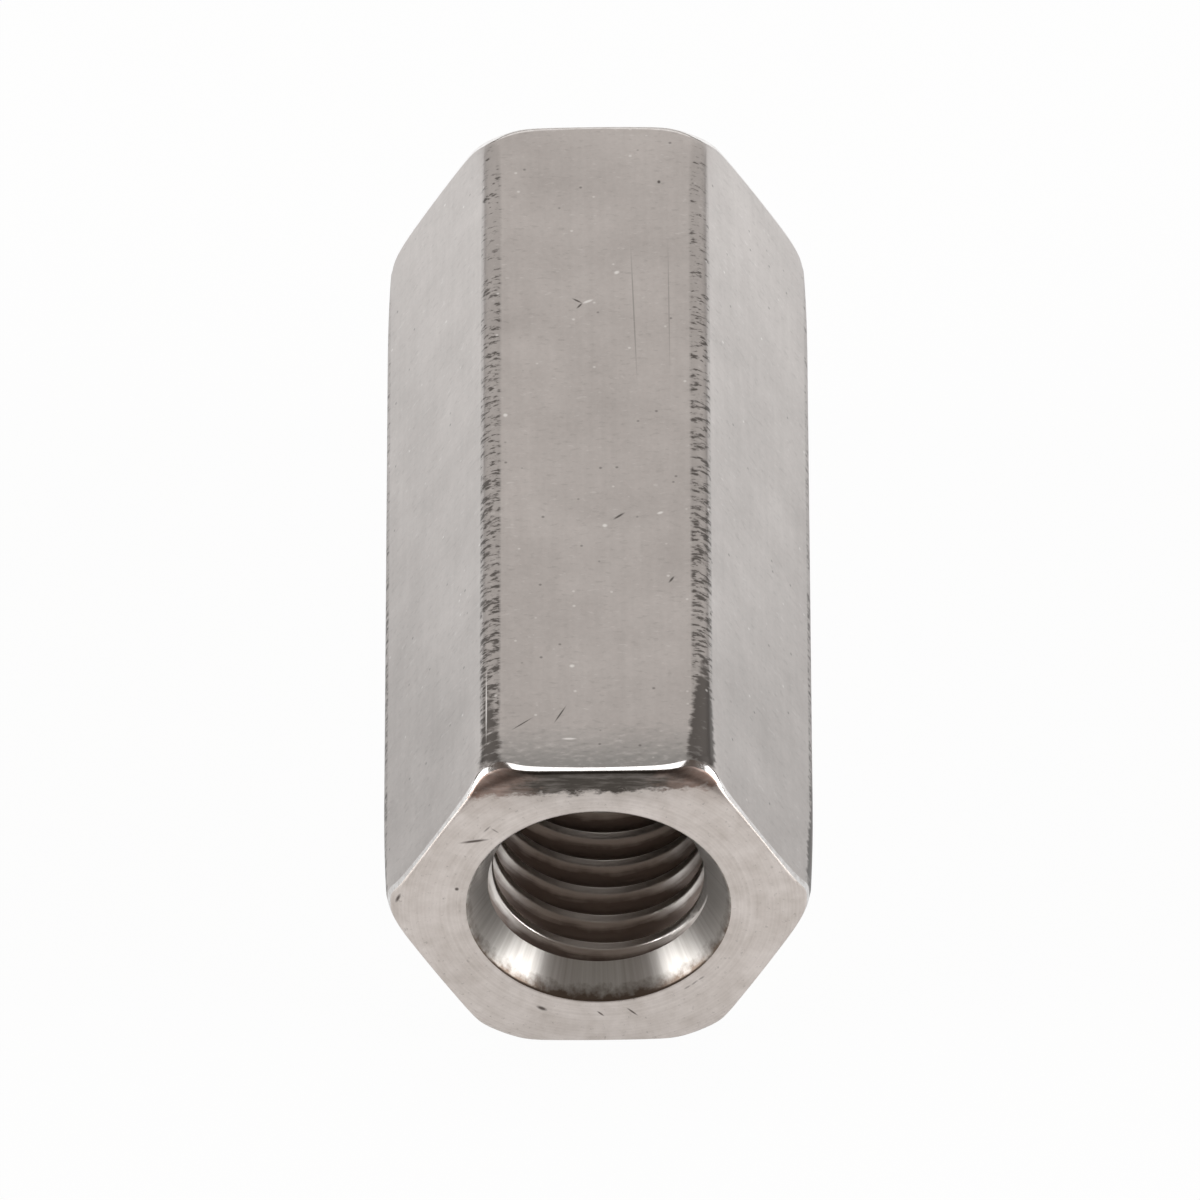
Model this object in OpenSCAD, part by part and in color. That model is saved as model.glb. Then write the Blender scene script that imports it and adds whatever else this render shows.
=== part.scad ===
// Long hexagon coupling nut, threaded right through to join two rods end to end.
// Millimetres. The thread axis lies along Y, a flat faces down, and the origin is the nut's centre.

/* [Hexagon] */
// Width across flats
across_flats = 11.9; // [11:0.05:24]
// Length from end face to end face
nut_length = 30; // [16:0.5:80]
// Radius of the six long corners
corner_radius = 0.6; // [0.2:0.05:1.5]

/* [Thread] */
// Nominal diameter of the thread
thread_diameter = 8; // [5:0.5:9]
// Pitch of the thread
thread_pitch = 1.25; // [0.5:0.05:1.75]

/* [End faces] */
// How far the round end face reaches past the flats, towards the corners
face_reach = 0.27; // [0.1:0.01:0.5]
// Slope of the chamfer that takes the corners off, from the end face
chamfer_angle = 43; // [20:1:50]
// Radius that rolls the end face into the chamfer
face_round = 0.6; // [0.2:0.1:0.7]

/* [Countersinks] */
// Step of a countersink's mouth outside the thread
mouth_step = 0.15; // [0.05:0.05:0.5]
// Included angle of a countersink
countersink_angle = 60; // [45:5:120]
// Radius of the lip round a countersink's mouth
lip_round = 0.15; // [0.05:0.05:0.3]

/* [Hidden] */
$fn = 128;

corner_count = 6;
corner_angle = 360 / corner_count;
half_length = nut_length / 2;

// The bore is the thread's minor diameter, where its crests end: a metric thread keeps 5/8 of its sharp height
sharp_thread_height = thread_pitch * sqrt(3) / 2;
kept_height_share = 5 / 8;
bore_radius = thread_diameter / 2 - sharp_thread_height * kept_height_share;

// Corners of the bar before rounding, and how far the turned shape reaches past them
sharp_corner_radius = across_flats / 2 / cos(corner_angle / 2);
turning_allowance = 1;
turned_radius = sharp_corner_radius + turning_allowance;

// Edge between an end face and its chamfer
face_radius = across_flats / 2 + face_reach;
chamfer_drop = (turned_radius - face_radius) * tan(chamfer_angle);

// Mouth and depth of a countersink, and the turn from its cone over the lip to the end face
mouth_radius = thread_diameter / 2 + mouth_step;
cone_angle = countersink_angle / 2;
countersink_depth = (mouth_radius - bore_radius) / tan(cone_angle);
lip_turn = 90 - cone_angle;

// A round meets the faces beside it at this slight angle, so that they share a definite edge
meeting_angle = 5;

// Depth of a round's centre below the sharp edge that it takes away, where the surface turns by turn
function round_depth(turn, radius) = radius * cos(meeting_angle) / cos(turn / 2);

// What a round takes off a sharp edge, drawn about the round's centre with the edge along +X
module edge_waste(turn, radius) {
    reach = 2 * radius;
    difference() {
        polygon([
            [0, 0],
            [reach * cos(turn / 2), -reach * sin(turn / 2)],
            [reach * cos(turn / 2), reach * sin(turn / 2)]
        ]);
        circle(r = radius);
    }
}

// Takes a round's waste off the sharp edge at point, where facing is the way that the edge points
module round_off(point, facing, turn, radius) {
    translate(point)
        rotate(facing)
            translate([-round_depth(turn, radius), 0])
                edge_waste(turn, radius);
}

// Drawn hexagon bar with rounded corners
module bar_section() {
    difference() {
        circle(r = sharp_corner_radius, $fn = corner_count);
        for (i = [0 : corner_count - 1])
            rotate(i * corner_angle)
                round_off([sharp_corner_radius, 0], 0, corner_angle, corner_radius);
    }
}

module bar() {
    linear_extrude(height = nut_length + 2 * turning_allowance, center = true)
        bar_section();
}

// Section that the lathe leaves at one end: chamfer, end face, countersink and bore
module turned_end() {
    difference() {
        polygon([
            [bore_radius, 0],
            [turned_radius, 0],
            [turned_radius, half_length - chamfer_drop],
            [face_radius, half_length],
            [mouth_radius, half_length],
            [bore_radius, half_length - countersink_depth]
        ]);
        round_off([face_radius, half_length], 90 - chamfer_angle / 2, chamfer_angle, face_round);
        round_off([mouth_radius, half_length], 90 + lip_turn / 2, lip_turn, lip_round);
    }
}

module turned_shape() {
    rotate_extrude() {
        turned_end();
        mirror([0, 1])
            turned_end();
    }
}

module coupling_nut() {
    color("silver")
        rotate([90, 0, 0])
            intersection() {
                bar();
                turned_shape();
            }
}

coupling_nut();
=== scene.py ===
import math
import bmesh
import bpy
from mathutils import Matrix, Vector


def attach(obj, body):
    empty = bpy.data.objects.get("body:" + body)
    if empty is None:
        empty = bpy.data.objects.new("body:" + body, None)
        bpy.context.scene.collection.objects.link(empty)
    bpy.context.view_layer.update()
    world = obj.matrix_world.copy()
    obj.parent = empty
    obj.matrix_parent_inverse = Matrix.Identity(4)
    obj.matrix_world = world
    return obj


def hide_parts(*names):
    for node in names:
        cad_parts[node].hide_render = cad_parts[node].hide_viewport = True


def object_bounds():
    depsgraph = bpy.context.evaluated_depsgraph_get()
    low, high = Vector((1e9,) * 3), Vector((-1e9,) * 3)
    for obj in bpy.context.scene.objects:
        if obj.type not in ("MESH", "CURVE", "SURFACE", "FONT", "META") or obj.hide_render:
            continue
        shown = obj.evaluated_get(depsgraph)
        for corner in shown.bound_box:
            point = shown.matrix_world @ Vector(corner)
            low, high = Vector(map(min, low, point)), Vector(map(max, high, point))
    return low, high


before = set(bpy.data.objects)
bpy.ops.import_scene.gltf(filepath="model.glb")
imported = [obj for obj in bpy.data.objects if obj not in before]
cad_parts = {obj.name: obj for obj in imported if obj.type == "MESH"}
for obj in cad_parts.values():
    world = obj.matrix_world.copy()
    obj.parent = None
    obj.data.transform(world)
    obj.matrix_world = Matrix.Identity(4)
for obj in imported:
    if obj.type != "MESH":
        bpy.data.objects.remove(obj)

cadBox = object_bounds()
mm = 0.001
scene = bpy.context.scene
scene.view_settings.view_transform = "Standard"


def srgb(hexCode):   # "#rrggbb" to linear rgba
    channels = [int(hexCode[i:i + 2], 16) / 255 for i in (1, 3, 5)]
    return [c / 12.92 if c <= 0.04045 else ((c + 0.055) / 1.055) ** 2.4 for c in channels] + [1.0]


def addNode(tree, kind, settings=None, links=None):   # one node, its settings, and what feeds its sockets
    node = tree.nodes.new("ShaderNode" + kind)
    for name, value in (settings or {}).items():
        if name == "stops":   # places on a colour ramp, each with a hex colour or a grey level
            while len(node.color_ramp.elements) < len(value):
                node.color_ramp.elements.new(1.0)
            for stop, (at, tone) in zip(node.color_ramp.elements, value):
                stop.position = at
                stop.color = srgb(tone) if isinstance(tone, str) else (tone, tone, tone, 1)
        elif isinstance(name, int) or name in node.inputs:
            node.inputs[name].default_value = value
        else:
            setattr(node, name, value)
    for name, source in (links or {}).items():
        if isinstance(source, bpy.types.Node):
            source = next(s for s in source.outputs if s.enabled)   # its first output in use
        tree.links.new(source, node.inputs[name])
    return node


def fade(span, most=1.0, least=0.0, unit=1.0):   # map range settings, least where the span starts
    return {"From Min": span[0] * unit, "From Max": span[1] * unit, "To Min": least, "To Max": most}


def newMaterial(name):
    material = bpy.data.materials.new(name)
    material.use_nodes = True
    material.node_tree.nodes.clear()
    return material, material.node_tree


def fromAxis(tree, place):   # distance from the thread's axis
    across = addNode(tree, "VectorMath", {"operation": "MULTIPLY", 1: (1, 0, 1)}, {0: place})
    return addNode(tree, "VectorMath", {"operation": "LENGTH"}, {0: across})


upperFlat = cadBox[1][2] / mm   # the marks' places are in mm
frontFace = cadBox[0][1] / mm
skin = 0.3                      # how far a mark reaches into the steel
markCore = 0.4                  # share of a mark's ellipse that has its full depth


def markMask(tree, place, marks):   # the deepest of the marks at a place, each a slim ellipse
    total = None
    for mark in marks:
        local = addNode(tree, "Mapping", {"vector_type": "TEXTURE",
                                          "Location": [c * mm for c in mark["at"]],
                                          "Rotation": [math.radians(a) for a in mark["turn"]],
                                          "Scale": [c * mm for c in mark["half"]]}, {"Vector": place})
        reach = addNode(tree, "VectorMath", {"operation": "LENGTH"}, {0: local})
        inside = addNode(tree, "MapRange", fade((1.0, markCore), mark.get("depth", 1.0)), {"Value": reach})
        if total is None:
            total = inside
        else:
            total = addNode(tree, "Math", {"operation": "MAXIMUM"}, {0: total, 1: inside})
    return total


# Stainless bar, cold drawn to a hexagon and tumbled: satin, with faint lines along it, specks and scratches

drawnLook = {
    "tones": [(0.5, "#bdb8b5"), (1.0, "#d4cfcc")],
    "frontGrey": "#989896",
    "dark": "#6a6663",
    # colour of the painted glints and highlights
    "bright": "#f6f4f2",
    "roughness": (0.29, 0.34),
    "roughTones": (0.4, 1.05),       # tones between which it goes from one to the other
    "lineSize": (0.25, 7.0, 0.25),   # drawing lines, far longer along the bar than across
    "lineTone": 0.25,
    "cloudSize": 3.2,
    "grainSize": 0.16,
    "grainTone": 0.3,
    "grainDepth": 0.006,
    "speckSpacing": 0.6,
    "speckSize": (0.11, 0.05),       # its edge and its full middle, as shares of the spacing
    "speckDepth": 0.6,
    "speckShare": 0.3,               # this share is bright, and as many are dark
    "cornerEdge": (6.65, 6.69),      # radius where a flat gives way to a long corner
    # painted shade: how much darker the long corners are, standing for the dark room they reflect
    "cornerPaintedShade": 0.2,
    "tickSize": (0.4, 0.17, 0.4),
    "tickSlants": (25, -30),
    "tickReach": (14, -4),           # y between which the ticks thicken towards the front
    "tickGain": (-0.04, 0.045),
    "ticks": (0.54, 0.66),           # levels of the hatching that show as ticks, scratches and so on
    "scratches": (0.6, 0.72),
    "scratchDepth": 0.16,
    "glints": (0.36, 0.26),
    "glintDepth": 0.25,
    "scrapeGlints": (0.46, 0.36),
    "scrapeGlintDepth": 0.28,
    "flareReach": (-9.5, -14.6),     # y between which the painted dark flares of the corners widen
    "flareWidth": 0.22,
    "flareLean": -0.2,               # starts the right one further back
    "flareEdge": (6.87, 6.92),
    "flareRagged": 0.17,
    "greyReach": (-13.8, -15.6),
    "greyRagged": -2.0,
    "greyDepth": 0.7,
    "greyAbove": 5.8,
}

darkMarks = [
    {"at": (1.23, 6.1, upperFlat), "turn": (0, 0, 1.7), "half": (0.03, 3.7, skin), "depth": 0.4},   # long
    {"at": (2.35, 6.4, upperFlat), "turn": (0, 0, 0.4), "half": (0.026, 3.3, skin), "depth": 0.35},   # long
    {"at": (-0.58, 6.66, upperFlat), "turn": (0, 0, -36), "half": (0.22, 0.045, skin)},   # a nick like a Y
    {"at": (-0.5, 6.42, upperFlat), "turn": (0, 0, 55), "half": (0.18, 0.045, skin)},
    {"at": (0.74, -3.39, upperFlat), "turn": (0, 0, 41), "half": (0.28, 0.055, skin)},
    {"at": (-1.12, -12.42, upperFlat), "turn": (0, 0, 64), "half": (0.48, 0.035, skin)},
    {"at": (-2.31, -12.83, upperFlat), "turn": (0, 0, 40), "half": (0.48, 0.03, skin)},
    {"at": (2.39, -6.33, upperFlat), "turn": (0, 0, 60), "half": (0.2, 0.05, skin)},
    {"at": (2.05, 12.24, upperFlat), "turn": (0, 0, 0), "half": (0.07, 0.1, skin)},
]

# small bright marks on the upper flat, painted glints off nicks
glintMarks = [
    {"at": (-0.24, 6.62, upperFlat), "turn": (0, 0, 28), "half": (0.22, 0.07, skin)},
    {"at": (-0.84, -13.53, upperFlat), "turn": (0, 0, 0), "half": (0.26, 0.06, skin)},
    {"at": (0.69, 7.97, upperFlat), "turn": (0, 0, 40), "half": (0.12, 0.09, skin)},
    {"at": (-2.86, 1.34, upperFlat), "turn": (0, 0, 0), "half": (0.09, 0.1, skin)},
    {"at": (0.29, -3.82, upperFlat), "turn": (0, 0, 0), "half": (0.1, 0.1, skin)},
    {"at": (2.04, -3.26, upperFlat), "turn": (0, 0, 25), "half": (0.13, 0.07, skin)},
    {"at": (-0.75, -10.23, upperFlat), "turn": (0, 0, 0), "half": (0.1, 0.09, skin)},
    {"at": (-3.44, -11.9, 5.87), "turn": (0, 0, 0), "half": (0.03, 1.9, skin)},   # a painted highlight along the left corner
]


def drawnSteel():
    look = drawnLook
    material, tree = newMaterial("stainless drawn and tumbled")
    place = addNode(tree, "TexCoord").outputs["Object"]
    along = addNode(tree, "Mapping", {"Scale": [1 / (s * mm) for s in look["lineSize"]]}, {"Vector": place})
    lines = addNode(tree, "TexNoise", {"Scale": 1.0, "Detail": 3.0, "Roughness": 0.55}, {"Vector": along})
    cloud = addNode(tree, "TexNoise",
                    {"Scale": 1 / (look["cloudSize"] * mm), "Detail": 6.0, "Roughness": 0.65},
                    {"Vector": place})
    grain = addNode(tree, "TexNoise",
                    {"Scale": 1 / (look["grainSize"] * mm), "Detail": 2.0, "Roughness": 0.7},
                    {"Vector": place})
    tone = addNode(tree, "Math", {"operation": "MULTIPLY_ADD", 1: look["lineTone"]}, {0: lines, 2: cloud})
    tone = addNode(tree, "Math", {"operation": "MULTIPLY_ADD", 1: look["grainTone"]}, {0: grain, 2: tone})
    colour = addNode(tree, "ValToRGB", {"stops": look["tones"]}, {"Fac": tone})

    # specks from tumbling, bright or dark by chance; the bright ones are painted glints off their dents
    cells = addNode(tree, "TexVoronoi", {"Scale": 1 / (look["speckSpacing"] * mm)}, {"Vector": place})
    chance = addNode(tree, "SeparateColor", links={"Color": cells.outputs["Color"]}).outputs["Red"]
    speck = addNode(tree, "MapRange", fade(look["speckSize"], look["speckDepth"]), {"Value": cells})
    bright = addNode(tree, "Math", {"operation": "GREATER_THAN", 1: 1 - look["speckShare"]}, {0: chance})
    bright = addNode(tree, "Math", {"operation": "MULTIPLY"}, {0: bright, 1: speck})
    bright = addNode(tree, "Math", {"operation": "MAXIMUM"},
                     {0: bright, 1: markMask(tree, place, glintMarks)})
    dark = addNode(tree, "Math", {"operation": "LESS_THAN", 1: look["speckShare"]}, {0: chance})
    dark = addNode(tree, "Math", {"operation": "MULTIPLY"}, {0: dark, 1: speck})
    dark = addNode(tree, "Math", {"operation": "MAXIMUM"}, {0: dark, 1: markMask(tree, place, darkMarks)})

    # short slanting ticks across the long corners, where parts knocked together; the corners themselves are
    # painted darker all along, a painted reflection of the dark room that their rounds face
    radius = fromAxis(tree, place)
    corner = addNode(tree, "MapRange", fade(look["cornerEdge"], unit=mm), {"Value": radius})
    # painted shade on the long corners, for the dark room they reflect
    shade = addNode(tree, "Math", {"operation": "MULTIPLY", 1: look["cornerPaintedShade"]}, {0: corner})
    dark = addNode(tree, "Math", {"operation": "MAXIMUM"}, {0: dark, 1: shade})
    parts = addNode(tree, "SeparateXYZ", links={"Vector": place}).outputs
    fewest, most = look["tickGain"]
    knocked = addNode(tree, "MapRange", fade(look["tickReach"], most, fewest, mm), {"Value": parts["Y"]})
    for slant in look["tickSlants"]:
        crosswise = addNode(tree, "Mapping", {"Rotation": (0, 0, math.radians(slant)),
                                              "Scale": [1 / (s * mm) for s in look["tickSize"]]},
                            {"Vector": place})
        hatch = addNode(tree, "TexNoise", {"Scale": 1.0, "Detail": 3.0, "Roughness": 0.6},
                        {"Vector": crosswise})
        ticks = addNode(tree, "Math", {"operation": "ADD"}, {0: hatch, 1: knocked})   # more at the front
        ticks = addNode(tree, "MapRange", fade(look["ticks"]), {"Value": ticks})
        ticks = addNode(tree, "Math", {"operation": "MULTIPLY"}, {0: ticks, 1: corner})
        dark = addNode(tree, "Math", {"operation": "MAXIMUM"}, {0: dark, 1: ticks})
        faint = addNode(tree, "MapRange", fade(look["scratches"], look["scratchDepth"]), {"Value": hatch})
        dark = addNode(tree, "Math", {"operation": "MAXIMUM"}, {0: dark, 1: faint})
        glint = addNode(tree, "MapRange", fade(look["glints"], look["glintDepth"]), {"Value": hatch})
        bright = addNode(tree, "Math", {"operation": "MAXIMUM"}, {0: bright, 1: glint})

    # the same corners painted darker where they flare at the front, a painted reflection of the dark room in
    # their worn ends; the last hatching makes the edge ragged
    frontward = addNode(tree, "Math", {"operation": "MULTIPLY_ADD", 1: look["flareLean"]},
                        {0: parts["X"], 2: parts["Y"]})
    flare = addNode(tree, "MapRange", fade(look["flareReach"], look["flareWidth"] * mm, unit=mm),
                    {"Value": frontward})
    flareShade = addNode(tree, "Math", {"operation": "ADD"}, {0: radius, 1: flare})
    flareShade = addNode(tree, "Math", {"operation": "MULTIPLY_ADD", 1: look["flareRagged"] * mm},
                     {0: hatch, 2: flareShade})
    flareShade = addNode(tree, "MapRange", fade(look["flareEdge"], unit=mm), {"Value": flareShade})
    dark = addNode(tree, "Math", {"operation": "MAXIMUM"}, {0: dark, 1: flareShade})

    # upper flat greyer towards the front
    upper = addNode(tree, "Math", {"operation": "GREATER_THAN", 1: look["greyAbove"] * mm},
                    {0: parts["Z"]})
    nearness = addNode(tree, "Math", {"operation": "MULTIPLY_ADD", 1: look["greyRagged"] * mm},
                       {0: hatch, 2: parts["Y"]})
    greyer = addNode(tree, "MapRange", fade(look["greyReach"], look["greyDepth"], unit=mm),
                    {"Value": nearness})
    greyer = addNode(tree, "Math", {"operation": "MULTIPLY"}, {0: greyer, 1: upper})
    # pale scratches near the front, painted as glints
    scrapeGlint = addNode(tree, "MapRange", fade(look["scrapeGlints"], look["scrapeGlintDepth"]), {"Value": hatch})
    scrapeGlint = addNode(tree, "Math", {"operation": "MULTIPLY"}, {0: scrapeGlint, 1: greyer})
    bright = addNode(tree, "Math", {"operation": "MAXIMUM"}, {0: bright, 1: scrapeGlint})

    for layer, mask in (("frontGrey", greyer), ("dark", dark), ("bright", bright)):
        colour = addNode(tree, "Mix", {"data_type": "RGBA", "B": srgb(look[layer])},
                         {"Factor": mask, "A": colour})
    smoothest, roughest = look["roughness"]
    rough = addNode(tree, "MapRange", fade(look["roughTones"], roughest, smoothest), {"Value": tone})
    bump = addNode(tree, "Bump", {"Strength": 0.25, "Distance": look["grainDepth"] * mm}, {"Height": grain})
    steel = addNode(tree, "BsdfPrincipled", {"Metallic": 1.0},
                    {"Base Color": colour, "Roughness": rough, "Normal": bump})
    addNode(tree, "OutputMaterial", links={"Surface": steel})
    return material


# Rims that handling has worn to a narrow facet and polished: they mirror the lamp overhead as a white line

wornLook = {"tones": [(0.3, "#e4e0dd"), (0.6, "#faf9f8")], "scuffSize": 0.2, "roughness": 0.14}


def wornSteel():
    look = wornLook
    material, tree = newMaterial("stainless worn bright")
    place = addNode(tree, "TexCoord").outputs["Object"]
    scuffs = addNode(tree, "TexNoise",
                     {"Scale": 1 / (look["scuffSize"] * mm), "Detail": 3.0, "Roughness": 0.6},
                     {"Vector": place})
    colour = addNode(tree, "ValToRGB", {"stops": look["tones"]}, {"Fac": scuffs})
    steel = addNode(tree, "BsdfPrincipled", {"Metallic": 1.0, "Roughness": look["roughness"]},
                    {"Base Color": colour})
    addNode(tree, "OutputMaterial", links={"Surface": steel})
    return material


# End faces turned on a lathe: matt, with fine rings round the thread, and a dark brown band along the top of
# the front one

turnedLook = {
    "tones": [(0.47, "#c9c0b9"), (1.0, "#e9e1dc")],
    "topBand": [(0.0, "#514c47"), (1.0, "#9a857b")],   # from its middle to its ends
    "dark": "#6a625d",
    "roughness": 0.42,
    "ringSize": 0.09,
    "ringTone": 0.3,
    "bandSize": 0.5,
    "bandTone": 0.15,
    "cloudSize": 0.9,
    "cloudDepth": 0.008,
    "strokeSize": (0.45, 0.5, 0.25),
    "bandEdge": (5.45, 5.68),       # height of its lower edge, with the ragged strokes added
    "bandRagged": 1.1,
    "bandLean": -0.04,              # lower at the left
    "bandStreakSize": (1.1, 0.5, 0.16),
    "bandStreaks": (0.36, 0.54),           # levels of the streaks between which the band thickens
    "bandThinnest": 0.84,
    "bandFade": (4.7, 5.6),              # height over which a faint darkening fades in below the band
    "bandFadeDepth": 0.2,
    "brownFrom": (3.2, 5.0),         # distance to either side where it turns brown
    "brownRagged": 3.0,
    "pitSize": 0.2,
    "pits": (0.6, 0.72),
    "pitDepth": 0.45,
}

faceMarks = [
    {"at": (-3.86, frontFace, 2.95), "turn": (0, -9, 0), "half": (0.52, skin, 0.07)},
    {"at": (-1.85, frontFace, -4.41), "turn": (0, 30, 0), "half": (0.22, skin, 0.09)},
    {"at": (0.0, frontFace, -4.67), "turn": (0, 45, 0), "half": (0.18, skin, 0.04)},
    {"at": (1.0, frontFace, -4.6), "turn": (0, 45, 0), "half": (0.28, skin, 0.04)},
    {"at": (-4.44, frontFace, 0.87), "turn": (0, 0, 0), "half": (0.08, skin, 0.09)},
    {"at": (-6.3, frontFace, 0.4), "turn": (0, 20, 0), "half": (0.06, 0.4, 0.3)},   # at the left corner
    {"at": (-3.45, frontFace, 3.47), "turn": (0, -50, 0), "half": (0.2, skin, 0.04), "depth": 0.6},
    {"at": (-3.2, frontFace, 3.4), "turn": (0, 40, 0), "half": (0.18, skin, 0.035), "depth": 0.6},
    {"at": (2.75, frontFace, -3.55), "turn": (0, -40, 0), "half": (0.16, skin, 0.04), "depth": 0.5},
    {"at": (2.98, frontFace, -3.35), "turn": (0, -48, 0), "half": (0.18, skin, 0.04), "depth": 0.5},
    {"at": (3.2, frontFace, -3.15), "turn": (0, -40, 0), "half": (0.15, skin, 0.04), "depth": 0.5},
]


def turnedSteel():
    look = turnedLook
    material, tree = newMaterial("stainless turned face")
    place = addNode(tree, "TexCoord").outputs["Object"]
    radius = fromAxis(tree, place)
    rings = addNode(tree, "TexNoise", {"noise_dimensions": "1D", "Detail": 2.0,
                                       "Scale": 1 / (look["ringSize"] * mm)}, {"W": radius})
    bands = addNode(tree, "TexNoise", {"noise_dimensions": "1D", "Detail": 1.0,
                                       "Scale": 1 / (look["bandSize"] * mm)}, {"W": radius})
    cloud = addNode(tree, "TexNoise",
                    {"Scale": 1 / (look["cloudSize"] * mm), "Detail": 5.0, "Roughness": 0.65},
                    {"Vector": place})
    tone = addNode(tree, "Math", {"operation": "MULTIPLY_ADD", 1: look["ringTone"]}, {0: rings, 2: cloud})
    tone = addNode(tree, "Math", {"operation": "MULTIPLY_ADD", 1: look["bandTone"]}, {0: bands, 2: tone})
    colour = addNode(tree, "ValToRGB", {"stops": look["tones"]}, {"Fac": tone})

    # dark band along the top of the front face, ragged below and broken into thin streaks
    parts = addNode(tree, "SeparateXYZ", links={"Vector": place}).outputs
    strokes = addNode(tree, "Mapping", {"Scale": [1 / (s * mm) for s in look["strokeSize"]]},
                      {"Vector": place})
    ragged = addNode(tree, "TexNoise", {"Scale": 1.0, "Detail": 6.0, "Roughness": 0.7}, {"Vector": strokes})
    height = addNode(tree, "Math", {"operation": "MULTIPLY_ADD", 1: look["bandRagged"] * mm},
                     {0: ragged, 2: parts["Z"]})
    height = addNode(tree, "Math", {"operation": "MULTIPLY_ADD", 1: look["bandLean"]},
                     {0: parts["X"], 2: height})
    topBand = addNode(tree, "MapRange", fade(look["bandEdge"], unit=mm), {"Value": height})
    bandStreaks = addNode(tree, "Mapping", {"Scale": [1 / (s * mm) for s in look["bandStreakSize"]]}, {"Vector": place})
    bandStreaks = addNode(tree, "TexNoise", {"Scale": 1.0, "Detail": 5.0, "Roughness": 0.65}, {"Vector": bandStreaks})
    bandStreaks = addNode(tree, "MapRange", fade(look["bandStreaks"], 1.0, look["bandThinnest"]), {"Value": bandStreaks})
    topBand = addNode(tree, "Math", {"operation": "MULTIPLY"}, {0: topBand, 1: bandStreaks})
    bandFade = addNode(tree, "MapRange", fade(look["bandFade"], look["bandFadeDepth"], unit=mm), {"Value": height})
    topBand = addNode(tree, "Math", {"operation": "MAXIMUM"}, {0: topBand, 1: bandFade})
    front = addNode(tree, "Math", {"operation": "LESS_THAN", 1: 0.0}, {0: parts["Y"]})
    topBand = addNode(tree, "Math", {"operation": "MULTIPLY"}, {0: topBand, 1: front})

    # browner towards its ends
    aside = addNode(tree, "Math", {"operation": "ABSOLUTE"}, {0: parts["X"]})
    aside = addNode(tree, "Math", {"operation": "MULTIPLY_ADD", 1: look["brownRagged"] * mm},
                    {0: ragged, 2: aside})
    aside = addNode(tree, "MapRange", fade(look["brownFrom"], unit=mm), {"Value": aside})
    tint = addNode(tree, "ValToRGB", {"stops": look["topBand"]}, {"Fac": aside})
    colour = addNode(tree, "Mix", {"data_type": "RGBA"}, {"Factor": topBand, "A": colour, "B": tint})

    grain = addNode(tree, "TexNoise",
                    {"Scale": 1 / (look["pitSize"] * mm), "Detail": 4.0, "Roughness": 0.7},
                    {"Vector": place})
    dark = addNode(tree, "MapRange", fade(look["pits"], look["pitDepth"]), {"Value": grain})
    dark = addNode(tree, "Math", {"operation": "MAXIMUM"}, {0: dark, 1: markMask(tree, place, faceMarks)})
    colour = addNode(tree, "Mix", {"data_type": "RGBA", "B": srgb(look["dark"])},
                     {"Factor": dark, "A": colour})
    bump = addNode(tree, "Bump", {"Strength": 0.3, "Distance": look["cloudDepth"] * mm}, {"Height": cloud})
    steel = addNode(tree, "BsdfPrincipled", {"Metallic": 1.0, "Roughness": look["roughness"]},
                    {"Base Color": colour, "Normal": bump})
    addNode(tree, "OutputMaterial", links={"Surface": steel})
    return material


# Countersinks burnished by their tool: a soft mirror, with streaks down the cone and a dirty lip

burnishedLook = {
    "tones": [(0.3, "#bdb9b4"), (0.7, "#d6d3cf")],
    "dirt": "#6b5d52",
    "metallic": 0.68,        # a film of oil dulls it
    "roughness": 0.29,
    "streakSize": 0.16,      # width of a streak near the mouth
    "streakRadius": 4.16,    # where it has that width
    "streakDepth": 0.005,
    "dirtSize": 0.3,
    "dirtRagged": 0.4,
    "dirtLean": -0.035,      # more of it below
    "dirtEdge": (4.2, 4.42),
}


def burnishedSteel():
    look = burnishedLook
    material, tree = newMaterial("stainless burnished countersink")
    place = addNode(tree, "TexCoord").outputs["Object"]
    across = addNode(tree, "VectorMath", {"operation": "MULTIPLY", 1: (1, 0, 1)}, {0: place})
    around = addNode(tree, "VectorMath", {"operation": "NORMALIZE"}, {0: across})
    streaks = addNode(tree, "TexNoise", {"Scale": look["streakRadius"] / look["streakSize"], "Detail": 4.0,
                                         "Roughness": 0.6}, {"Vector": around})
    colour = addNode(tree, "ValToRGB", {"stops": look["tones"]}, {"Fac": streaks})
    dirt = addNode(tree, "TexNoise",
                   {"Scale": 1 / (look["dirtSize"] * mm), "Detail": 4.0, "Roughness": 0.6},
                   {"Vector": place})
    lip = addNode(tree, "Math", {"operation": "MULTIPLY_ADD", 1: look["dirtRagged"] * mm},
                  {0: dirt, 2: fromAxis(tree, place)})
    parts = addNode(tree, "SeparateXYZ", links={"Vector": place}).outputs
    lip = addNode(tree, "Math", {"operation": "MULTIPLY_ADD", 1: look["dirtLean"]}, {0: parts["Z"], 2: lip})
    lip = addNode(tree, "MapRange", fade(look["dirtEdge"], unit=mm), {"Value": lip})
    colour = addNode(tree, "Mix", {"data_type": "RGBA", "B": srgb(look["dirt"])},
                     {"Factor": lip, "A": colour})
    bump = addNode(tree, "Bump", {"Strength": 0.3, "Distance": look["streakDepth"] * mm},
                   {"Height": streaks})
    steel = addNode(tree, "BsdfPrincipled", {"Metallic": look["metallic"], "Roughness": look["roughness"]},
                    {"Base Color": colour, "Normal": bump})
    addNode(tree, "OutputMaterial", links={"Surface": steel})
    return material


# Thread cut with a tap and left oily, streaked along its turns: near-white crests are a painted glint, and the
# dull brown towards the roots is oil with painted shade in the grooves

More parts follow.
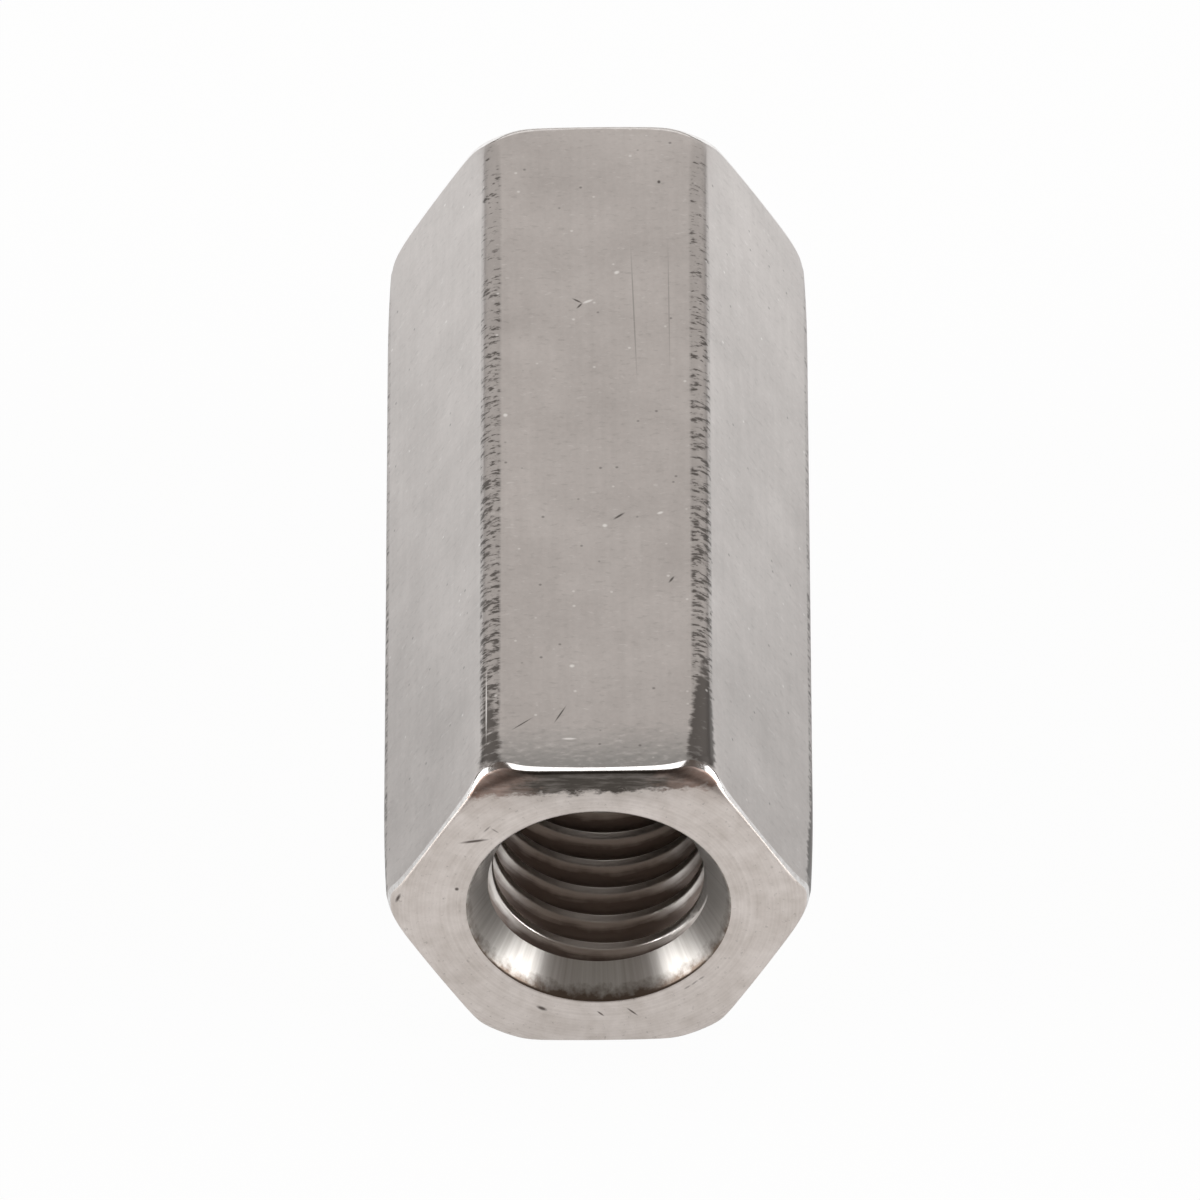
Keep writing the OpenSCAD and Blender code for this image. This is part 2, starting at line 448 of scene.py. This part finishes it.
tappedLook = {
    "tones": [(0.08, "#f2ede8"), (0.36, "#948780"), (1.0, "#aea098")],   # from crest to root: a painted glint on the crests, then oil with painted shade
    "roughness": 0.28,
    "rootMetallic": 0.35,      # oil covers the metal towards the root
    "streakSize": 0.12,
    "streakDepth": 0.012,
    "patchSize": 0.9,
    "oilAndShadeRagged": 0.3,
    "oilAndShadeDepth": (3.65, 4.35),
}


def tappedSteel():
    look = tappedLook
    material, tree = newMaterial("stainless cut thread")
    place = addNode(tree, "TexCoord").outputs["Object"]
    radius = fromAxis(tree, place)
    parts = addNode(tree, "SeparateXYZ", links={"Vector": place}).outputs
    section = addNode(tree, "CombineXYZ", links={"X": radius, "Y": parts["Y"]})
    streaks = addNode(tree, "TexNoise", {"Scale": 1 / (look["streakSize"] * mm), "Detail": 3.0},
                      {"Vector": section})
    patches = addNode(tree, "TexNoise", {"Scale": 1 / (look["patchSize"] * mm), "Detail": 3.0},
                      {"Vector": place})
    # darker towards the root: oil, with painted shade in the grooves between the turns
    oilAndShade = radius
    for pattern in (patches, streaks):
        oilAndShade = addNode(tree, "Math", {"operation": "MULTIPLY_ADD", 1: look["oilAndShadeRagged"] * mm},
                      {0: pattern, 2: oilAndShade})
    oilAndShade = addNode(tree, "MapRange", fade(look["oilAndShadeDepth"], unit=mm), {"Value": oilAndShade})
    colour = addNode(tree, "ValToRGB", {"stops": look["tones"]}, {"Fac": oilAndShade})
    bare = addNode(tree, "MapRange", fade((0, 1), look["rootMetallic"], 1.0), {"Value": oilAndShade})
    bump = addNode(tree, "Bump", {"Strength": 0.5, "Distance": look["streakDepth"] * mm},
                   {"Height": streaks})
    steel = addNode(tree, "BsdfPrincipled", {"Roughness": look["roughness"]},
                    {"Base Color": colour, "Metallic": bare, "Normal": bump})
    addNode(tree, "OutputMaterial", links={"Surface": steel})
    return material


finishes = [drawnSteel(), wornSteel(), turnedSteel(), burnishedSteel(), tappedSteel()]
drawn, worn, turned, burnished, tapped = range(len(finishes))   # their slots on the nut
print("finishes made:", len(finishes))

nut = {
    "acrossFlats": 11.9,
    "length": 30.0,
    "corners": 6,
    "cornerReach": 0.37,      # how far a long corner's round runs along each flat
    "cornerRadius": 6.762,    # how far the rounded corners reach from the axis
    "cornerSegments": 8,
    "flatCuts": 29,
    "rings": (3, 6, 9, 10.5, 11.5, 12.3, 13, 13.4, 13.7, 13.9, 14.05, 14.2),   # along the bar, from its middle
    "faceRadius": 6.22,       # where the end face and the chamfer would meet if sharp
    "chamferAngle": 43,
    "chamferSteps": 16,
    "faceRound": 0.567,
    "faceSteps": 6,
    "innerRing": 5.5,         # rings inside this one are plain circles
    "rimArcs": [(12, 0.15), (24, 0.6), (90, 0.1)],   # worn rim: angle where each arc ends, and its radius
    "rimShares": [(0, 1 / 2, 1), (1 / 4, 1 / 2, 3 / 4, 1), (1 / 4, 1 / 2, 3 / 4, 1)],   # rings on each arc
    "rimGrowth": 2.0,         # how much larger it is at the corners
    "endRoll": 0.015,         # how far the tumbled flats fall away at their ends
    "rollLength": 1.4,
    "cornerWear": 0.12,       # how far the long corners are worn down at their ends
    "wearLength": 4.5,
    "wornFrom": 6.5,          # radius where that wear begins
    "mouthRadius": 4.15,
    "coneAngle": 30,
    "coneSteps": 8,
    "lipReach": 0.1,
    "lipSegments": 4,
    "blankRadius": 3.2,       # bore before tapping
    "boreRings": (12, 8, 4, 0),
    "sharpAngle": 32,         # edges that turn more than this stay sharp
}

tap = {
    "pitch": 1.25,
    "majorRadius": 4.0,
    "minorRadius": 3.3234,
    "crestAtBottom": 1.68,    # how deep the first crest is, straight below the axis
    "start": 1.15,            # the thread starts this far in, behind the countersink's inner edge
    "crestReach": 0.055,      # worn edges of the crests
    "rootReach": 0.05,
    "wornSegments": 3,
    "turns": 25,
    "steps": 96,
    "seam": 0.002,            # each turn meets the next within this
}

half = nut["length"] / 2
flatRadius = nut["acrossFlats"] / 2
chamfer = math.radians(nut["chamferAngle"])
innerFace = nut["faceRadius"] - nut["faceRound"] * math.tan(chamfer / 2)   # the end face is flat to here
touching = 0.0005   # vertices closer than this are one


def vertsOf(geom):
    return [g for g in geom if isinstance(g, bmesh.types.BMVert)]


def growLoop(bm, loop, place, finish):   # extrudes a closed loop; place gives a new vertex's radius and y
    wall = bm.verts.layers.float["wallRadius"]
    grown = bmesh.ops.extrude_edge_only(bm, edges=loop)["geom"]
    for v in vertsOf(grown):
        radius, y = place(v[wall])
        ray = Vector((v.co.x, 0, v.co.z)).normalized()
        v.co = ray * radius + Vector((0, y, 0))
    loop = [g for g in grown if isinstance(g, bmesh.types.BMEdge) and g.is_boundary]
    for edge in loop:
        edge.link_faces[0].material_index = finish
    return loop


def slopeAt(radius):   # slope of the turned end at this radius
    rise = max(0.0, radius - innerFace) / nut["faceRound"]
    return math.asin(min(rise, math.sin(chamfer)))


def setBack(radius):   # how far the turned end lies behind the end face at this radius
    if radius < innerFace + nut["faceRound"] * math.sin(chamfer):
        return nut["faceRound"] * (1 - math.cos(slopeAt(radius)))
    return (radius - nut["faceRadius"]) * math.tan(chamfer)


def wallAt(wallRadius, y):   # flats fall away a little over their last stretch, and corners are worn more
    toEnd = half - y
    rolled = max(0.0, 1 - toEnd / nut["rollLength"])
    flareShade = max(0.0, 1 - toEnd / nut["wearLength"])
    proud = max(0.0, (wallRadius - nut["wornFrom"]) / (nut["cornerRadius"] - nut["wornFrom"]))
    return wallRadius - nut["endRoll"] * rolled ** 2 - nut["cornerWear"] * (flareShade * proud) ** 2


def alongRim(angle, size):   # how far the worn rim has dropped and run when it has turned this far
    drop = run = start = 0.0
    for end, radius in nut["rimArcs"]:
        stop = max(start, min(math.radians(end), angle))
        drop += size * radius * (math.cos(start) - math.cos(stop))
        run += size * radius * (math.sin(stop) - math.sin(start))
        start = stop
    return drop, run


def rimPoint(wallRadius, arc, share):   # radius and y on the worn rim, a share of the way along an arc
    wall = wallAt(wallRadius, half)
    towardsCorner = (wallRadius - flatRadius) / (nut["cornerRadius"] - flatRadius)
    size = 1 + (nut["rimGrowth"] - 1) * towardsCorner
    edge = wall
    for settle in range(5):   # finds where the rim runs into the chamfer
        turn = math.radians(90) - slopeAt(edge)
        fullDrop, fullRun = alongRim(turn, size)
        edge = wall - fullDrop
    knots = [0.0] + [math.radians(end) for end, radius in nut["rimArcs"][:-1]] + [turn]
    drop, run = alongRim(knots[arc] + (knots[arc + 1] - knots[arc]) * share, size)
    return wall - drop, setBack(edge) + fullRun - run - half


def chamferPoint(wallRadius, share):   # radius and y from the rim's inner edge at 0 to the inner ring at 1
    lastArc = len(nut["rimArcs"]) - 1
    edge = rimPoint(wallRadius, lastArc, 1)[0]
    radius = edge + (nut["innerRing"] - edge) * share
    return radius, setBack(radius) - half


def makeBlank():   # one half from the middle to the front face, then mirrored
    bm = bmesh.new()
    wall = bm.verts.layers.float.new("wallRadius")
    sharpRadius = flatRadius / math.cos(math.pi / nut["corners"])
    bmesh.ops.create_circle(bm, cap_ends=False, segments=nut["corners"], radius=sharpRadius)
    bmesh.ops.bevel(bm, geom=bm.verts[:] + bm.edges[:], offset=nut["cornerReach"], offset_type="OFFSET",
                    segments=nut["cornerSegments"], profile=0.5, affect="VERTICES", material=-1)
    flats = [e for e in bm.edges if e.calc_length() > nut["cornerReach"]]
    bmesh.ops.subdivide_edges(bm, edges=flats, cuts=nut["flatCuts"])
    for axis in ("Z", "X"):   # corners to the sides, then the axis along Y
        bmesh.ops.rotate(bm, verts=bm.verts, matrix=Matrix.Rotation(math.radians(90), 3, axis))
    for v in bm.verts:
        v[wall] = v.co.length

    loop = bm.edges[:]
    for y in nut["rings"]:
        loop = growLoop(bm, loop, lambda w: (wallAt(w, y), -y), drawn)
    for arc, finish in enumerate((drawn, worn, turned)):
        for share in nut["rimShares"][arc]:
            loop = growLoop(bm, loop, lambda w: rimPoint(w, arc, share), finish)
    for step in range(nut["chamferSteps"]):
        share = (step + 1) / nut["chamferSteps"]
        loop = growLoop(bm, loop, lambda w: chamferPoint(w, share), turned)
    for step in range(nut["faceSteps"]):
        radius = nut["innerRing"] + (nut["mouthRadius"] - nut["innerRing"]) * (step + 1) / nut["faceSteps"]
        loop = growLoop(bm, loop, lambda w: (radius, -half), turned)
    lip = loop
    tilt = math.tan(math.radians(nut["coneAngle"]))
    for step in range(nut["coneSteps"]):
        inwards = (nut["mouthRadius"] - nut["blankRadius"]) * (step + 1) / nut["coneSteps"]
        loop = growLoop(bm, loop, lambda w: (nut["mouthRadius"] - inwards, inwards / tilt - half), burnished)
    for y in nut["boreRings"]:
        loop = growLoop(bm, loop, lambda w: (nut["blankRadius"], -y), tapped)

    bmesh.ops.recalc_face_normals(bm, faces=bm.faces)   # the bevel needs them to agree
    bmesh.ops.bevel(bm, geom=lip, offset=nut["lipReach"], offset_type="OFFSET", segments=nut["lipSegments"],
                    profile=0.5, affect="EDGES", material=-1)
    bmesh.ops.mirror(bm, geom=bm.verts[:] + bm.edges[:] + bm.faces[:], axis="Y", merge_dist=touching)
    bmesh.ops.remove_doubles(bm, verts=bm.verts, dist=touching)
    bmesh.ops.recalc_face_normals(bm, faces=bm.faces)
    return bm


def makeTap():   # the thread's own shape, spun up its helix and cut off square at both ends
    bm = bmesh.new()
    pitch = tap["pitch"]
    first = tap["crestAtBottom"] - half - pitch * 2   # straight above the axis, where the tap has a ridge
    corners = [(-3 / 8, "minorRadius"), (-1 / 16, "majorRadius"), (1 / 16, "majorRadius"),
               (3 / 8, "minorRadius"), (5 / 8, "minorRadius")]   # one turn, in shares of the pitch
    outline = [bm.verts.new((0, first + share * pitch, tap[name])) for share, name in corners]
    edges = [bm.edges.new(pair) for pair in zip(outline, outline[1:])]
    for turn in range(1, tap["turns"]):
        copy = bmesh.ops.duplicate(bm, geom=outline + edges)
        bmesh.ops.translate(bm, verts=vertsOf(copy["geom"]), vec=(0, turn * pitch, 0))
    bmesh.ops.remove_doubles(bm, verts=bm.verts, dist=touching)
    for name, reach in (("minorRadius", "crestReach"), ("majorRadius", "rootReach")):
        edged = [v for v in bm.verts if abs(v.co.z - tap[name]) < touching and len(v.link_edges) == 2]
        bmesh.ops.bevel(bm, geom=edged, offset=tap[reach], offset_type="OFFSET",
                        segments=tap["wornSegments"], profile=0.5, affect="VERTICES", material=-1)
    bmesh.ops.spin(bm, geom=bm.verts[:] + bm.edges[:], cent=(0, 0, 0), axis=(0, 1, 0),
                   dvec=(0, pitch / tap["steps"], 0), angle=math.radians(360), steps=tap["steps"],
                   use_merge=False, use_duplicate=False)
    bmesh.ops.remove_doubles(bm, verts=bm.verts, dist=tap["seam"])
    for side in (-1, 1):
        bmesh.ops.bisect_plane(bm, geom=bm.verts[:] + bm.edges[:] + bm.faces[:], dist=1e-6,
                               plane_co=(0, side * (half - tap["start"]), 0), plane_no=(0, side, 0),
                               clear_outer=True)
    for side in (-1, 1):
        rim = [e for e in bm.edges if e.is_boundary and e.verts[0].co.y * side > 0]
        bmesh.ops.edgeloop_fill(bm, edges=rim)
    for face in bm.faces:
        face.material_index = tapped
    bmesh.ops.recalc_face_normals(bm, faces=bm.faces)
    return bm


def toObject(bm, name, materials):
    mesh = bpy.data.meshes.new(name)
    bm.to_mesh(mesh)
    bm.free()
    for material in materials:
        mesh.materials.append(material)
    piece = bpy.data.objects.new(name, mesh)
    scene.collection.objects.link(piece)
    return piece


def tapThrough(blank, cutter):   # cuts the thread, still in millimetres
    tapping = blank.modifiers.new("tapping", "BOOLEAN")
    tapping.operation = "DIFFERENCE"
    tapping.solver = "EXACT"
    tapping.object = cutter
    cut = bpy.data.meshes.new_from_object(blank.evaluated_get(bpy.context.evaluated_depsgraph_get()))
    bm = bmesh.new()
    bm.from_mesh(cut)
    bmesh.ops.triangulate(bm, faces=[f for f in bm.faces if len(f.verts) > 4])
    for piece in (blank, cutter):
        bpy.data.objects.remove(piece)
    bpy.data.meshes.remove(cut)
    return bm


hexBlank = toObject(makeBlank(), "hex_blank", finishes)
threadTap = toObject(makeTap(), "thread_tap", finishes)
finished = tapThrough(hexBlank, threadTap)
bmesh.ops.scale(finished, verts=finished.verts, vec=(mm, mm, mm))
for face in finished.faces:
    face.smooth = True
coupling = toObject(finished, "coupling_nut_body", finishes)
coupling.data.set_sharp_from_angle(angle=math.radians(nut["sharpAngle"]))
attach(coupling, "root")
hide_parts("coupling_nut")
print("nut tapped:", len(coupling.data.polygons), "faces")


# Camera where the photograph was taken from

view = {
    "elevation": 43.463,
    "azimuth": 0.644,
    "roll": -1.05,
    "distance": 731.7,
    "lens": 688.4,
    "sensor": 36,
    "clipStart": 10,
    "shiftRight": 0.0642,   # how far the aim lies off the nut's centre, mm
    "shiftUp": -0.6602,
}


def makeCamera():
    elevation, azimuth, roll = (math.radians(view[k]) for k in ("elevation", "azimuth", "roll"))
    level = Vector((math.sin(azimuth), -math.cos(azimuth), 0))
    back = level * math.cos(elevation) + Vector((0, 0, math.sin(elevation)))
    right = Vector((math.cos(azimuth), math.sin(azimuth), 0))
    up = back.cross(right)
    right, up = right * math.cos(roll) + up * math.sin(roll), up * math.cos(roll) - right * math.sin(roll)
    aim = right * view["shiftRight"] + up * view["shiftUp"]
    lens = bpy.data.cameras.new("camera")
    lens.lens = view["lens"]
    lens.sensor_width = view["sensor"]
    lens.clip_start = view["clipStart"] * mm
    camera = bpy.data.objects.new("camera", lens)
    turn = Matrix((right, up, back)).transposed().to_4x4()
    camera.matrix_world = Matrix.Translation((aim + back * view["distance"]) * mm) @ turn
    scene.collection.objects.link(camera)
    scene.camera = camera


makeCamera()
print("camera placed")


# White table that stays white to the eye and in the steel, and keeps a soft shadow

table = {
    "front": 48,       # how far it reaches past the nut, mm
    "back": 260,
    "side": 200,
    "colour": "#f4f4f4",
    "toEye": 0.955,    # share of its own glow that the eye and the steel see
    "toSteel": 0.7,
    "glowReach": (-30, 40),
    "glow": [(0.0, 0.97), (0.45, 0.61), (1.0, 1.06)],   # dimmer under the nut, brighter behind it
}


def makeTable():
    material, tree = newMaterial("white table")
    path = addNode(tree, "LightPath").outputs
    mirrored = addNode(tree, "Math", {"operation": "MAXIMUM"},
                       {0: path["Is Glossy Ray"], 1: path["Is Transmission Ray"]})
    mirrored = addNode(tree, "Math", {"operation": "MULTIPLY", 1: table["toSteel"]}, {0: mirrored})
    share = addNode(tree, "Math", {"operation": "MULTIPLY_ADD", 1: table["toEye"]},
                    {0: path["Is Camera Ray"], 2: mirrored})
    paper = addNode(tree, "BsdfDiffuse", {"Color": srgb(table["colour"])})
    place = addNode(tree, "TexCoord").outputs["Object"]
    parts = addNode(tree, "SeparateXYZ", links={"Vector": place}).outputs
    reach = addNode(tree, "MapRange", fade(table["glowReach"], unit=mm), {"Value": parts["Y"]})
    tent = addNode(tree, "ValToRGB", {"stops": table["glow"]}, {"Fac": reach})
    bright = addNode(tree, "Math", {"operation": "MAXIMUM"}, {0: tent, 1: path["Is Camera Ray"]})
    glow = addNode(tree, "Emission", links={"Strength": bright})
    mixed = addNode(tree, "MixShader", links={0: share, 1: paper, 2: glow})
    addNode(tree, "OutputMaterial", links={"Surface": mixed})
    bm = bmesh.new()
    bmesh.ops.create_grid(bm, x_segments=1, y_segments=1, size=1)
    depth = table["front"] + table["back"] + nut["length"]
    bmesh.ops.scale(bm, verts=bm.verts, vec=(table["side"] * mm, depth / 2 * mm, 1))
    middle = depth / 2 - table["front"] - half
    bmesh.ops.translate(bm, verts=bm.verts, vec=(0, middle * mm, -flatRadius * mm))
    floor = toObject(bm, "table", [material])


makeTable()


# Soft boxes round the table; bright is the radiance of each, where 1 is white

softBoxes = [
    {"name": "overhead", "at": (0, 68, 440), "size": (320, 215), "bright": 1.5, "colour": "#ffffff"},
    {"name": "ceiling", "at": (0, -170, 480), "size": (420, 260), "bright": 0.08, "colour": "#f4fffa"},
    {"name": "back panel", "at": (-10, 442, 244), "size": (1100, 470), "bright": 0.65, "colour": "#fffdfb"},
    {"name": "left box", "at": (-400, -20, 130), "size": (340, 260), "bright": 5.2, "colour": "#ffffff"},
    {"name": "right box", "at": (400, -20, 130), "size": (340, 260), "bright": 5.5, "colour": "#ffffff"},
]


def makeSoftBox(box):
    lamp = bpy.data.lights.new(box["name"], "AREA")
    lamp.shape = "RECTANGLE"
    lamp.size, lamp.size_y = (s * mm for s in box["size"])
    lamp.energy = box["bright"] * math.pi * lamp.size * lamp.size_y
    lamp.color = srgb(box["colour"])[:3]
    holder = bpy.data.objects.new(box["name"], lamp)
    at = Vector(box["at"]) * mm
    holder.matrix_world = Matrix.Translation(at) @ at.to_track_quat("Z", "Y").to_matrix().to_4x4()
    holder.visible_camera = False
    scene.collection.objects.link(holder)


for box in softBoxes:
    makeSoftBox(box)


room = {"toEye": "#ffffff", "toSteel": "#5a514b"}


def makeRoom():   # white to the eye, a dim warm room to everything else
    world = bpy.data.worlds.new("room")
    world.use_nodes = True
    tree = world.node_tree
    tree.nodes.clear()
    path = addNode(tree, "LightPath").outputs
    dim = addNode(tree, "Background", {"Color": srgb(room["toSteel"])})
    white = addNode(tree, "Background", {"Color": srgb(room["toEye"])})
    mixed = addNode(tree, "MixShader", links={0: path["Is Camera Ray"], 1: dim, 2: white})
    addNode(tree, "OutputWorld", links={"Surface": mixed})
    scene.world = world


makeRoom()
print("table, soft boxes and room made")

bpy.context.view_layer.update()
